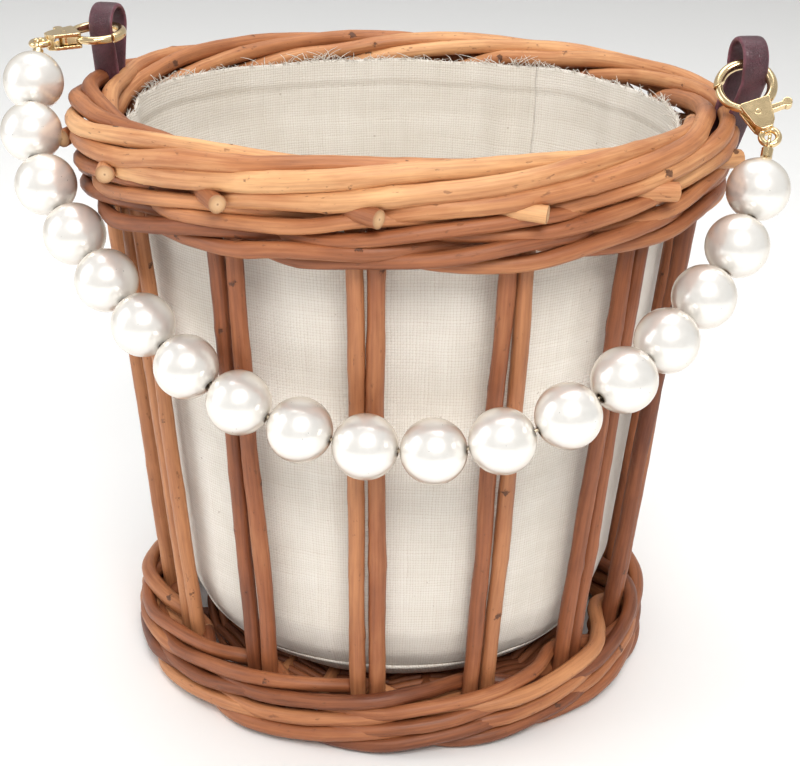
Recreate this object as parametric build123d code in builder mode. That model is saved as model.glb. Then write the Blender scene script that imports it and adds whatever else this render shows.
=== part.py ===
"""Flower girl basket: a woven willow basket with a linen liner, two leather loops and a beaded handle.

Millimetres, +Z up. The origin is the centre of the face that the basket stands on. +X points at the
right leather loop and -Y is the front, where the beaded handle hangs.
"""
from build123d import *
from math import cos, hypot, pi, radians, sin, sqrt, tan
import os

os.makedirs("parts", exist_ok=True)

# ---------------------------------------------------------------- driving dimensions
RIM_R = 80.0                 # outer radius of the rolled border
HEIGHT = 144.0               # standing face to the top of the border
FOOT_R = 67.0                # outer radius of the bottom waling
BAND_TOP_Z = 16.6            # top of the bottom waling
WALE_Z = 123.6               # underside of the top waling
BORDER_Z = 134.0             # underside of the rolled border
FIT = 0.05                   # clearance round a rod where it passes through the weave

STAKE_D = 3.7                # willow side stakes
STAKE_PAIRS = 14
STAKE_PITCH = 4.4            # centre to centre within a pair
STAKE_PHASE = 6.4            # angle of the first pair from the front
STAKE_FOOT_Z = 1.6
STAKE_FOOT_R = 58.6          # stake circle at the standing face
STAKE_LEAN = 0.098           # growth of the stake circle for each millimetre of height

BASE_STICK_D = 3.2
BASE_STICK_PITCH = 8.0
BASE_STICKS = 4              # in each of the two crossing layers
BASE_LOWER_Z = 2.4
BASE_UPPER_Z = 5.65
BASE_WEAVE_R = 53.0
BASE_WEAVE_INNER_R = 14.5    # the weave starts just outside the crossing sticks
BASE_WEAVE_Z = (0.7, 7.4)    # underside and top of the base weave
WEAVE_EDGE_R = 0.8

LINER_T = 1.0
LINER_SEAM_Z = 15.0          # the side panel is sewn to the base panel here
LINER_TOP_Z = 138.8

STRAP_FOOT_X = 74.5          # centre of each leather loop in the border
STRAP_FOLD_X = {-1: 74.5, 1: 79.8}   # centre of each fold: the right loop leans outwards
STRAP_BEND_Z = 149.5         # the legs lean below this height
STRAP_W = 6.0
STRAP_T = 1.4
STRAP_EDGE_R = 0.35
STRAP_BIGHT_R = 4.0          # inside radius of the fold
PIVOT_Z = 155.0              # the handle turns about this line, through both loops
STRAP_END_Z = BORDER_Z + 0.6

RING_R = 4.7                 # inside radius of the clasp's ring
RING_WIRE_R = 1.2
RING_MID_R = RING_R + RING_WIRE_R
RING_DROP = 1.2              # the ring's wire passes this far from the pivot line
HOOK_START = 18.0            # the hook's arc round the ring, in degrees from the eye
HOOK_ARC = 235.0
GATE_START = 247.0           # the gate's arc closes the ring
GATE_ARC = 86.5
GATE_WIRE_R = 0.95
GATE_REACH = 11.3            # pin to the gate's tip
TIP_GAP = 0.15               # between the gate's tip and the hook's
EYE_U = 14.3                 # clasp's ring centre to its eye centre
EYE_MID_R = 1.9
EYE_WIRE_R = 0.75
CLASP_HALF_T = 1.9
SLOT_HALF_T = 1.05
LEVER_HALF_T = 0.9
PIN_U, PIN_V = 8.2, -0.4
PIN_R = 0.5
PIN_BORE_R = 0.52
LEVER_BORE_R = 0.56
LEFT_SWING, LEFT_TILT = 82.0, 42.0
RIGHT_SWING, RIGHT_TILT = 45.0, 64.0

BEAD_D = 14.0
BEAD_PITCH = 14.4
BEADS = 18
BEAD_BORE_R = 1.1
WIRE_R = 0.4
CAP_R = 1.3
CAP_START = 2.9              # eye centre to the near end of the cap's barrel
CAP_LEN = 2.2
CAP_LOOP_R = 1.75
CAP_LOOP_WIRE_R = 0.4
CAP_LOOP_BITE = 0.3          # how far the cap's loop runs into its barrel


def finish(builder, name):
    """Label one sub-part and write its STEP file."""
    builder.part.label = name
    export_step(builder.part, f"parts/{name}.step")


# ---------------------------------------------------------------- woven base
def stick_offsets():
    """Distances of the parallel base sticks from the centre line."""
    first = -0.5 * (BASE_STICKS - 1) * BASE_STICK_PITCH
    return [first + i * BASE_STICK_PITCH for i in range(BASE_STICKS)]


def stick_plane(offset, lower):
    """Plane at the end of one base stick, looking along it, and the stick's length."""
    reach = sqrt((BASE_WEAVE_R - WEAVE_EDGE_R) ** 2 - offset ** 2)
    if lower:
        plane = Plane(origin=(-reach, offset, BASE_LOWER_Z), x_dir=(0, 1, 0), z_dir=(1, 0, 0))
    else:
        plane = Plane(origin=(offset, -reach, BASE_UPPER_Z), x_dir=(1, 0, 0), z_dir=(0, 1, 0))
    return plane, 2 * reach


def make_base_sticks(name, lower):
    """One layer of parallel base sticks."""
    with BuildPart() as sticks:
        for offset in stick_offsets():
            plane, length = stick_plane(offset, lower)
            with BuildSketch(plane):
                Circle(BASE_STICK_D / 2)
            extrude(amount=length)
    finish(sticks, name)


make_base_sticks("base_sticks_lower", True)
make_base_sticks("base_sticks_upper", False)

with BuildPart() as base_weave:
    with BuildSketch(Plane.XZ) as base_weave_profile:
        weave_middle = ((BASE_WEAVE_INNER_R + BASE_WEAVE_R) / 2, sum(BASE_WEAVE_Z) / 2)
        with Locations(weave_middle):
            Rectangle(BASE_WEAVE_R - BASE_WEAVE_INNER_R, BASE_WEAVE_Z[1] - BASE_WEAVE_Z[0])
        fillet(base_weave_profile.vertices(), WEAVE_EDGE_R)
    revolve(axis=Axis.Z)
    for is_lower in (True, False):
        for stick_offset in stick_offsets():
            bore_plane, bore_length = stick_plane(stick_offset, is_lower)
            with BuildSketch(bore_plane):
                Circle(BASE_STICK_D / 2 + FIT)
            extrude(amount=bore_length, mode=Mode.SUBTRACT)
finish(base_weave, "base_weave")


# ---------------------------------------------------------------- side stakes and waling bands
def stake_plane(pair, side):
    """Plane across one stake at its foot; its normal runs up the stake."""
    middle = radians(STAKE_PHASE + 360 * pair / STAKE_PAIRS)
    out = Vector(sin(middle), -cos(middle), 0)
    along = Vector(cos(middle), sin(middle), 0)
    foot_r = STAKE_FOOT_R + STAKE_LEAN * STAKE_FOOT_Z
    foot = out * foot_r + along * (side * STAKE_PITCH / 2) + Vector(0, 0, STAKE_FOOT_Z)
    return Plane(origin=foot, x_dir=along, z_dir=out * STAKE_LEAN + Vector(0, 0, 1))


def stake_length(top_z):
    """Length of a leaning stake from its foot to the given height."""
    return (top_z - STAKE_FOOT_Z) * hypot(1, STAKE_LEAN)


def make_stake_pair(pair):
    """The two rods of one side stake."""
    with BuildPart() as stakes:
        for side in (-1, 1):
            with BuildSketch(stake_plane(pair, side)):
                Circle(STAKE_D / 2)
            extrude(amount=stake_length(BORDER_Z - 0.4))
    finish(stakes, f"stake_pair_{pair + 1:02d}")


for pair_number in range(STAKE_PAIRS):
    make_stake_pair(pair_number)


def make_ring(name, outline, radius, overshoot):
    """A waling band: a closed ring of the given outline, bored for every side stake."""
    with BuildPart() as ring:
        with BuildSketch(Plane.XZ) as profile:
            with BuildLine():
                Polyline(*outline, close=True)
            make_face()
            fillet(profile.vertices(), radius)
        revolve(axis=Axis.Z)
        for pair in range(STAKE_PAIRS):
            for side in (-1, 1):
                with BuildSketch(stake_plane(pair, side)):
                    Circle(STAKE_D / 2 + FIT)
                extrude(amount=stake_length(overshoot), mode=Mode.SUBTRACT)
    finish(ring, name)


BOTTOM_OUTLINE = (
    (56.0, 0),
    (65.2, 0),
    (FOOT_R, 8.0),
    (66.2, BAND_TOP_Z),
    (55.6, BAND_TOP_Z),
    (53.4, 7.6),
)
TOP_OUTLINE = (
    (67.0, WALE_Z),
    (76.8, WALE_Z),
    (78.6, 129.0),
    (78.8, BORDER_Z - FIT),
    (67.0, BORDER_Z - FIT),
)
make_ring("bottom_waling", BOTTOM_OUTLINE, 1.6, BAND_TOP_Z + 5)
make_ring("top_waling", TOP_OUTLINE, 1.2, BORDER_Z + 5)

# ---------------------------------------------------------------- rolled border
BORDER_OUTLINE = (
    (67.6, BORDER_Z),
    (79.4, BORDER_Z),
    (RIM_R, 138.4),
    (78.0, 142.4),
    (75.2, HEIGHT),
    (72.2, HEIGHT),
    (69.2, 142.6),
    (67.2, 138.4),
)


def strap_leg_offsets():
    """Middle of each leather leg in Y: the loop has a front leg and a rear leg."""
    middle = STRAP_BIGHT_R + STRAP_T / 2
    return (-middle, middle)


def strap_leg_x(side, z):
    """Middle of a leather leg in X at a height below the bend."""
    share = (z - STRAP_END_Z) / (STRAP_BEND_Z - STRAP_END_Z)
    return side * (STRAP_FOOT_X + (STRAP_FOLD_X[side] - STRAP_FOOT_X) * share)


with BuildPart() as border:
    with BuildSketch(Plane.XZ) as border_profile:
        with BuildLine():
            Polyline(*BORDER_OUTLINE, close=True)
        make_face()
        fillet(border_profile.vertices().group_by(Axis.Y)[0], 0.6)
        fillet(border_profile.vertices().group_by(Axis.Y)[-1], 3.0)
    revolve(axis=Axis.Z)
    for strap_side in (-1, 1):
        for leg_y in strap_leg_offsets():
            for cut_z in (BORDER_Z - 1, HEIGHT + 1):
                with BuildSketch(Plane.XY.offset(cut_z)):
                    with Locations((strap_leg_x(strap_side, cut_z), leg_y)):
                        Rectangle(STRAP_W + 2 * FIT, STRAP_T + 2 * FIT)
            loft(mode=Mode.SUBTRACT)
finish(border, "rolled_border")

# ---------------------------------------------------------------- linen liner
SEAM_R = 52.4                # outside of the liner at the seam
SIDE_OUTER = (
    (SEAM_R, LINER_SEAM_Z),
    (57.4, 27.0),
    (65.2, 116.0),
    (66.2, 124.0),
    (66.4, LINER_TOP_Z),
)
BASE_OUTER = (
    (0, 7.9),
    (46.0, 7.9),
    (SEAM_R, LINER_SEAM_Z),
)


def inside_of(outer):
    """The same cloth outline a cloth's thickness further in, from its last point back to its first."""
    first, last = outer[0], outer[-1]
    inner = [(r - LINER_T, z + 0.4) for r, z in outer[1:-1]]
    start = (first[0], first[1] + LINER_T) if first[0] == 0 else (first[0] - LINER_T, first[1])
    return [(last[0] - LINER_T, last[1]), *reversed(inner), start]


def make_liner_panel(name, outer):
    """One panel of the liner, turned round the basket's axis."""
    with BuildPart() as panel:
        with BuildSketch(Plane.XZ):
            with BuildLine():
                Polyline(*outer, *inside_of(outer), close=True)
            make_face()
        revolve(axis=Axis.Z)
    finish(panel, name)


make_liner_panel("liner_side_panel", SIDE_OUTER)
make_liner_panel("liner_base_panel", BASE_OUTER)


# ---------------------------------------------------------------- leather loops
def strap_section(side, z, leg_y):
    """Section of one leather leg at a height."""
    x = side * STRAP_FOLD_X[side] if z >= STRAP_BEND_Z else strap_leg_x(side, z)
    with BuildSketch(Plane.XY.offset(z)) as section:
        with Locations((x, leg_y)):
            RectangleRounded(STRAP_W, STRAP_T, STRAP_EDGE_R)
    return section.sketch


def make_strap(name, side):
    """A leather strip folded into a loop that stands up through the border."""
    with BuildPart() as strap:
        for leg_y in strap_leg_offsets():
            foot = strap_section(side, STRAP_END_Z, leg_y)
            bend = strap_section(side, STRAP_BEND_Z, leg_y)
            loft([foot, bend])
            extrude(bend, amount=PIVOT_Z - STRAP_BEND_Z)
        front = strap_section(side, PIVOT_Z, strap_leg_offsets()[0])
        revolve(front, axis=Axis((0, 0, PIVOT_Z), (-1, 0, 0)), revolution_arc=180)
    finish(strap, name)


make_strap("leather_loop_left", -1)
make_strap("leather_loop_right", 1)


# ---------------------------------------------------------------- lobster clasps
def clasp_plane(side, swing, tilt):
    """Plane of one clasp. Its origin is the ring's centre and its X axis points at the eye."""
    outward = Vector(side, 0, 0)
    away = Vector(0, -sin(radians(swing)), -cos(radians(swing)))
    c, s = cos(radians(tilt)), sin(radians(tilt))
    to_eye = outward * c + away * s
    across = outward * s - away * c
    centre = Vector(side * STRAP_FOLD_X[side], 0, PIVOT_Z) + away * (RING_DROP + RING_MID_R)
    return Plane(origin=centre, x_dir=to_eye, z_dir=to_eye.cross(across))


def ring_section(plane, angle, mid_r):
    """Plane across the clasp's ring at an angle from the eye."""
    c, s = cos(radians(angle)), sin(radians(angle))
    radial = plane.x_dir * c + plane.y_dir * s
    return Plane(origin=plane.origin + radial * mid_r, x_dir=radial, z_dir=plane.z_dir.cross(radial))


CHEEKS = (
    (4.95, 3.6),
    (11.2, 2.3),
    (12.7, 1.2),
    (12.7, -1.2),
    (11.2, -2.3),
    (4.95, -3.6),
)
TAB_SLOT = ((8.9, 0), 4.8, 9)             # middle, length and width, open to both sides
GATE_SLOT = ((6.0, -1.8), 4.0, 5.4)
HOOK_TIP = ((-2.5, -6.2), 7.0, 5.4)       # where the hook's tip is cut round the pin
GATE_NECK = (
    (PIN_U, PIN_V + 1.4),
    (PIN_U, PIN_V - 1.5),
    (5.2, -3.4),
    (4.75, -1.6),
)
TAB = (
    (6.9, 0.2),
    (8.5, 0.2),
    (8.2, 6.6),
    (7.0, 6.6),
)
TAB_KNOB = (7.5, 6.8)
TAB_KNOB_R = 1.15
HUB_R = 1.5


def make_clasp_body(name, plane):
    """Hook, cheeks and eye of a lobster clasp, cast in one piece."""
    with BuildPart() as body:
        with BuildSketch(ring_section(plane, HOOK_START, RING_MID_R)):
            Circle(RING_WIRE_R)
        revolve(axis=Axis(plane.origin, plane.z_dir), revolution_arc=HOOK_ARC)
        with BuildSketch(plane):
            with Locations((PIN_U, PIN_V)):
                Circle(GATE_REACH + TIP_GAP)
            with Locations(HOOK_TIP[0]):
                Rectangle(HOOK_TIP[1], HOOK_TIP[2], mode=Mode.INTERSECT)
        extrude(amount=CLASP_HALF_T, both=True, mode=Mode.SUBTRACT)
        with BuildSketch(plane) as cheeks:
            with BuildLine():
                Polyline(*CHEEKS, close=True)
            make_face()
            fillet(cheeks.vertices(), 0.5)
        extrude(amount=CLASP_HALF_T, both=True)
        with BuildSketch(plane):
            for middle, length, width in (TAB_SLOT, GATE_SLOT):
                with Locations(middle):
                    Rectangle(length, width)
        extrude(amount=SLOT_HALF_T, both=True, mode=Mode.SUBTRACT)
        with BuildSketch(plane):
            with Locations((PIN_U, PIN_V)):
                Circle(PIN_BORE_R)
        extrude(amount=CLASP_HALF_T + 1, both=True, mode=Mode.SUBTRACT)
        eye_axis = Axis(plane.from_local_coords((EYE_U, 0, 0)), plane.z_dir)
        with BuildSketch(Plane(plane.from_local_coords((EYE_U + EYE_MID_R, 0, 0)), plane.x_dir, plane.y_dir)):
            Circle(EYE_WIRE_R)
        revolve(axis=eye_axis)
    finish(body, name)


def make_lever(name, plane):
    """The clasp's gate, with its hub and thumb tab."""
    with BuildPart() as lever:
        with BuildSketch(ring_section(plane, GATE_START, RING_MID_R)):
            Circle(GATE_WIRE_R)
        revolve(axis=Axis(plane.origin, plane.z_dir), revolution_arc=GATE_ARC)
        with BuildSketch(plane):
            with Locations((PIN_U, PIN_V)):
                Circle(HUB_R)
            for outline in (GATE_NECK, TAB):
                with BuildLine():
                    Polyline(*outline, close=True)
                make_face()
            with Locations(TAB_KNOB):
                Circle(TAB_KNOB_R)
            with Locations((PIN_U, PIN_V)):
                Circle(LEVER_BORE_R, mode=Mode.SUBTRACT)
        extrude(amount=LEVER_HALF_T, both=True)
        with BuildSketch(plane):
            with Locations((PIN_U, PIN_V)):
                Circle(GATE_REACH)
        extrude(amount=CLASP_HALF_T, both=True, mode=Mode.INTERSECT)
    finish(lever, name)


def make_pin(name, plane):
    """The rivet that the lever turns on."""
    with BuildPart() as pin:
        with BuildSketch(plane):
            with Locations((PIN_U, PIN_V)):
                Circle(PIN_R)
        extrude(amount=CLASP_HALF_T, both=True)
    finish(pin, name)


SPRING_START = (9.7, 1.2, 0)
SPRING_PITCH, SPRING_HEIGHT, SPRING_R = 0.38, 1.3, 0.45
SPRING_WIRE_R = 0.11


def make_spring(name, plane):
    """The small coil that closes the lever, in the pocket behind the tab."""
    start = plane.from_local_coords(SPRING_START)
    with BuildPart() as spring:
        with BuildLine():
            coil = Helix(SPRING_PITCH, SPRING_HEIGHT, SPRING_R, center=start, direction=plane.x_dir)
        with BuildSketch(Plane(origin=coil @ 0, z_dir=coil % 0)):
            Circle(SPRING_WIRE_R)
        sweep(path=coil, is_frenet=True)
    finish(spring, name)


CLASPS = {
    "left": clasp_plane(-1, LEFT_SWING, LEFT_TILT),
    "right": clasp_plane(1, RIGHT_SWING, RIGHT_TILT),
}
for clasp_side, clasp in CLASPS.items():
    make_clasp_body(f"clasp_body_{clasp_side}", clasp)
    make_lever(f"clasp_lever_{clasp_side}", clasp)
    make_pin(f"clasp_pin_{clasp_side}", clasp)
    make_spring(f"clasp_spring_{clasp_side}", clasp)

# ---------------------------------------------------------------- beaded strand
LEFT_EYE = CLASPS["left"].from_local_coords((EYE_U, 0, 0))
RIGHT_EYE = CLASPS["right"].from_local_coords((EYE_U, 0, 0))
STRAND = (
    (-82.2, -28.7, 145.2),
    (-77.2, -42.2, 131.3),
    (-63.0, -52.4, 117.0),
    (-45.8, -64.2, 104.6),
    (-26.5, -74.0, 94.0),
    (-3.0, -77.5, 86.2),
    (21.9, -77.6, 84.5),
    (44.1, -75.7, 90.7),
    (61.0, -64.9, 99.5),
    (73.4, -44.0, 108.6),
    (84.1, -28.0, 124.1),
)


def cap_direction(eye, neighbour):
    """Unit vector from a clasp's eye along the first run of the wire."""
    return (Vector(*neighbour) - eye).normalized()


LEFT_DIR = cap_direction(LEFT_EYE, STRAND[0])
RIGHT_DIR = cap_direction(RIGHT_EYE, STRAND[-1])
WIRE_START = LEFT_EYE + LEFT_DIR * (CAP_START + CAP_LEN)
WIRE_END = RIGHT_EYE + RIGHT_DIR * (CAP_START + CAP_LEN)
ROUTE = [WIRE_START, *[Vector(*point) for point in STRAND], WIRE_END]


def corner_radii(points):
    """Bend radius at each inner point: as large as its two runs allow."""
    radii = []
    for before, corner, after in zip(points, points[1:], points[2:]):
        shorter = min((corner - before).length, (after - corner).length)
        half_turn = radians((corner - before).get_angle(after - corner)) / 2
        radii.append(0.45 * shorter / tan(half_turn))
    return radii


RADII = corner_radii(ROUTE)
print("strand bend radii, mm:", [round(radius, 1) for radius in RADII])

with BuildPart() as strand_wire:
    with BuildLine():
        strand_path = FilletPolyline(*ROUTE, radius=RADII)
    with BuildSketch(Plane(origin=strand_path @ 0, z_dir=strand_path % 0)):
        Circle(WIRE_R)
    sweep(path=strand_path)
finish(strand_wire, "strand_wire")
STRAND_LENGTH = strand_path.length
print("strand wire length, mm:", round(STRAND_LENGTH, 2))
print("volume over section times length:", strand_wire.part.volume / (pi * WIRE_R ** 2 * STRAND_LENGTH))

FIRST_BEAD = (STRAND_LENGTH - (BEADS - 1) * BEAD_PITCH) / 2
print("cap to first bead centre, mm:", round(FIRST_BEAD, 2))


def make_bead(number):
    """One drilled bead, centred on the wire."""
    where = (FIRST_BEAD + number * BEAD_PITCH) / STRAND_LENGTH
    plane = Plane(origin=strand_path @ where, z_dir=strand_path % where)
    with BuildPart() as bead:
        with Locations(plane.location):
            Sphere(BEAD_D / 2)
        with BuildSketch(plane):
            Circle(BEAD_BORE_R)
        extrude(amount=BEAD_D, both=True, mode=Mode.SUBTRACT)
    finish(bead, f"pearl_{number + 1:02d}")


for bead_number in range(BEADS):
    make_bead(bead_number)


def make_cap(name, eye, direction, clasp):
    """The crimped end cap: a barrel on the wire and a loop through the clasp's eye."""
    side_dir = clasp.z_dir.cross(direction).normalized()
    with BuildPart() as cap:
        with BuildSketch(Plane(origin=eye + direction * CAP_START, z_dir=direction)):
            Circle(CAP_R)
        extrude(amount=CAP_LEN)
        loop_centre = eye + direction * (CAP_START - CAP_LOOP_R + CAP_LOOP_BITE)
        with BuildSketch(Plane(origin=loop_centre + direction * CAP_LOOP_R, x_dir=direction, z_dir=clasp.z_dir)):
            Circle(CAP_LOOP_WIRE_R)
        revolve(axis=Axis(loop_centre, side_dir))
    finish(cap, name)


make_cap("end_cap_left", LEFT_EYE, LEFT_DIR, CLASPS["left"])
make_cap("end_cap_right", RIGHT_EYE, RIGHT_DIR, CLASPS["right"])
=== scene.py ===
"""Flower girl basket: willow rods, linen liner, leather loops, gold clasps and a bead handle.

Metres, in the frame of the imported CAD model: +Z up, +X at the right leather loop, -Y the front. Angles
round the basket are in degrees from the front towards +X.
"""
import math
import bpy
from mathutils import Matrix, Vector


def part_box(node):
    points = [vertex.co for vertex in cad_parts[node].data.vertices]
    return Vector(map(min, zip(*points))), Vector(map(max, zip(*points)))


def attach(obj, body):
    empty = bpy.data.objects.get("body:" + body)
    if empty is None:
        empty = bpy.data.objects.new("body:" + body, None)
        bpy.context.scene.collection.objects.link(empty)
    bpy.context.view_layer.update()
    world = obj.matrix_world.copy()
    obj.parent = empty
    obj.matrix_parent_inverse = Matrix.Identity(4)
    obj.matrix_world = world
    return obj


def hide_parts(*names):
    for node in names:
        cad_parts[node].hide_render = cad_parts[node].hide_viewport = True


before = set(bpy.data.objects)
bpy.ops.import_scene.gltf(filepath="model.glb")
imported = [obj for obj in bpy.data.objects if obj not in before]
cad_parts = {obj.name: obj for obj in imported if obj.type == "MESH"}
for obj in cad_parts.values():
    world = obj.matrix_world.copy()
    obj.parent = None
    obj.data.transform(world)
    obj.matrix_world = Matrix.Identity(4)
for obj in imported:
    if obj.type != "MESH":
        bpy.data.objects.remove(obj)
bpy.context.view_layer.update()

import zlib

import bpy
import numpy as np
from mathutils import Matrix, Vector

MM = 0.001
TURN = 2 * math.pi

# ---------------------------------------------------------------- sizes, from the frame
BORDER_LOW, BORDER_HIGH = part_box("rolled_border")
RIM_R = BORDER_HIGH.x
BORDER_Z = BORDER_LOW.z
WALE_FOOT_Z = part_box("top_waling")[0].z
FOOT_TOP_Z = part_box("bottom_waling")[1].z
LINER_LOW, LINER_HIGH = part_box("liner_side_panel")
LINER_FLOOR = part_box("liner_base_panel")[0].z
PAIR_NODES = sorted(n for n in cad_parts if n.startswith("stake_pair_"))
PITCH = 360 / len(PAIR_NODES)

STAKE_R = 1.95 * MM
STAKE_GAP = 4.4 * MM             # centre to centre within a pair
STAKE_FOOT_R = 58.6 * MM         # stake circle at the standing face
STAKE_LEAN = 0.098


def node_angle(name):
    """Angle round the basket of a CAD node's middle."""
    low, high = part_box(name)
    middle = (low + high) / 2
    return math.degrees(math.atan2(middle.x, -middle.y))


PHASE = node_angle(PAIR_NODES[0])


def ring_point(angle, radius, z):
    """Points at angles round the basket, in degrees."""
    a = np.radians(angle)
    return np.stack(np.broadcast_arrays(radius * np.sin(a), -radius * np.cos(a), z), -1)


def dice(name):
    """A random generator of its own for each piece, the same in every run."""
    return np.random.default_rng(zlib.crc32(name.encode()))


def wander(rng, along, wavelength, size):
    """A smooth random wave along a rod."""
    wave = np.zeros_like(along)
    for share in (1.0, 0.57, 0.31):
        turns = along / (wavelength * share)
        wave += share * np.sin(TURN * (turns + rng.random()))
    return wave * size / 1.3


def smooth_path(points, steps):
    """A curve through the points, with this many steps between each two."""
    p = np.asarray(points, float)
    p = np.vstack([2 * p[0] - p[1], p, 2 * p[-1] - p[-2]])
    t = np.linspace(0, 1, steps, endpoint=False)[:, None]
    rows = []
    for a, b, c, d in zip(p, p[1:], p[2:], p[3:]):
        rows.append(0.5 * (2 * b + (c - a) * t + (2 * a - 5 * b + 4 * c - d) * t ** 2
                           + (3 * b - a - 3 * c + d) * t ** 3))
    return np.vstack([*rows, p[-2]])


# ---------------------------------------------------------------- mesh helpers
def make_mesh(name, verts, faces, attributes=(), flat_faces=0):
    """A mesh object with smooth faces; the last flat_faces of them stay flat."""
    mesh = bpy.data.meshes.new(name)
    mesh.from_pydata([tuple(v) for v in verts], [], faces)
    smooth = np.ones(len(faces), bool)
    if flat_faces:
        smooth[-flat_faces:] = False
    mesh.polygons.foreach_set("use_smooth", smooth)
    for key, values in attributes:
        values = np.asarray(values, np.float32)
        kind, field = ("FLOAT_VECTOR", "vector") if values.ndim == 2 else ("FLOAT", "value")
        mesh.attributes.new(key, kind, "POINT").data.foreach_set(field, values.ravel())
    obj = bpy.data.objects.new(name, mesh)
    bpy.context.scene.collection.objects.link(obj)
    return obj


def grid_faces(rows, columns, closed):
    """Quads of a grid of vertices; closed joins the last column to the first."""
    last = columns if closed else columns - 1
    return [
        (i * columns + j, i * columns + (j + 1) % columns,
         (i + 1) * columns + (j + 1) % columns, (i + 1) * columns + j)
        for i in range(rows - 1) for j in range(last)
    ]


def path_frames(path):
    """Distance along a path, its tangents, and two directions across it that don't twist."""
    tangent = np.gradient(path, axis=0)
    tangent /= np.linalg.norm(tangent, axis=1)[:, None]
    along = np.concatenate([[0], np.cumsum(np.linalg.norm(np.diff(path, axis=0), axis=1))])
    across = np.cross(tangent[0], (0.3, 0.5, 0.81))
    sides = []
    for t in tangent:
        across = across - t * (across @ t)
        across = across / np.linalg.norm(across)
        sides.append(across)
    side = np.array(sides)
    return along, tangent, side, np.cross(tangent, side)


class Rods:
    """Willow rods gathered into one mesh.

    Each vertex keeps its place in the straight rod, its rod's tint, how near a bud scar it is, and whether
    it is on a cut end.
    """

    def __init__(self, name, sides=12):
        self.name, self.sides, self.rng = name, sides, dice(name)
        self.verts, self.faces, self.caps = [], [], []
        self.rod, self.tint, self.knot, self.cut = [], [], [], []
        self.count = 0

    def add(self, path, radius, taper=1.0, knot_every=26 * MM, tint=None):
        """One rod along a path. taper is the far end's share of the radius."""
        rng, n = self.rng, self.sides
        along, _, side, up = path_frames(path)
        length = along[-1]
        theta = np.arange(n) * TURN / n
        size = radius * np.interp(along / length, (0, 1), (1, taper))
        size = size * (1 + wander(rng, along, 45 * MM, 0.035) + wander(rng, along, 9 * MM, 0.012))
        lobes = 1 + 0.028 * np.cos(2 * theta + TURN * rng.random())
        lobes += 0.02 * np.cos(3 * theta + TURN * rng.random())
        r = size[:, None] * lobes[None, :]
        scar = np.zeros_like(r)
        place = knot_every * rng.random()
        while place < length:
            turn = TURN * rng.random()
            apart = np.abs((theta - turn + math.pi) % TURN - math.pi)[None, :]
            ahead = (along - place)[:, None]
            bump = np.exp(-(ahead / (1.7 * MM)) ** 2) * (0.3 + 0.7 * np.exp(-(apart / 0.9) ** 2))
            r = r * (1 + rng.uniform(0.05, 0.15) * bump)
            mark = np.exp(-(ahead / (1.1 * MM)) ** 2 - (apart / 0.6) ** 2)
            scar = np.maximum(scar, mark * rng.uniform(0.5, 1))
            place += knot_every * rng.uniform(0.45, 1.6)
        ring = side[:, None, :] * np.cos(theta)[None, :, None] + up[:, None, :] * np.sin(theta)[None, :, None]
        verts = path[:, None, :] + ring * r[:, :, None]
        seed = 3.0 * rng.random()
        straight = np.broadcast_arrays(r * np.cos(theta), r * np.sin(theta), along[:, None] + seed)
        straight = np.stack(straight, -1)
        shade = rng.random() if tint is None else tint
        start = self.count
        rows = len(path)
        self._push(verts.reshape(-1, 3), straight.reshape(-1, 3), shade, scar.ravel(), 0.0)
        self.faces += [tuple(start + k for k in f) for f in grid_faces(rows, n, True)]
        for end, order in ((0, -1), (rows - 1, 1)):
            first = self.count
            rim = verts[end]
            inner = path[end] + (rim - path[end]) * 0.9 + self._outward(path, end) * radius * 0.06
            middle = path[end] + self._outward(path, end) * radius * 0.08
            cap = np.vstack([rim, inner, middle])
            local = np.vstack([straight[end], straight[end] * (0.9, 0.9, 1), [0, 0, straight[end][0][2]]])
            self._push(cap, local, shade, np.zeros(len(cap)), 1.0)
            for j in range(n):
                k = (j + 1) % n
                quad = (first + j, first + k, first + n + k, first + n + j)
                fan = (first + n + j, first + n + k, first + 2 * n)
                self.caps += [quad[::order], fan[::order]]
        return self

    @staticmethod
    def _outward(path, end):
        step = path[0] - path[1] if end == 0 else path[-1] - path[-2]
        return step / np.linalg.norm(step)

    def _push(self, verts, straight, shade, scar, cut):
        self.verts.append(verts)
        self.rod.append(straight)
        self.tint.append(np.full(len(verts), shade))
        self.knot.append(scar)
        self.cut.append(np.full(len(verts), cut))
        self.count += len(verts)

    def build(self, material, slot, *nodes):
        """The finished piece, riding on the basket in place of CAD nodes."""
        attributes = (
            ("rod", np.vstack(self.rod)),
            ("tint", np.concatenate(self.tint)),
            ("knot", np.concatenate(self.knot)),
            ("cut", np.concatenate(self.cut)),
        )
        obj = make_mesh(self.name, np.vstack(self.verts), self.faces + self.caps, attributes, len(self.caps))
        return dress(obj, material, "basket", slot, *nodes)


def dress(obj, material, body, slot, *nodes):
    """Give a piece its material, the body it rides on and the CAD nodes it stands for; slot is not used."""
    obj.data.materials.clear()
    obj.data.materials.append(material)
    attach(obj, body)
    if nodes:
        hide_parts(*nodes)
    return obj


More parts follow.
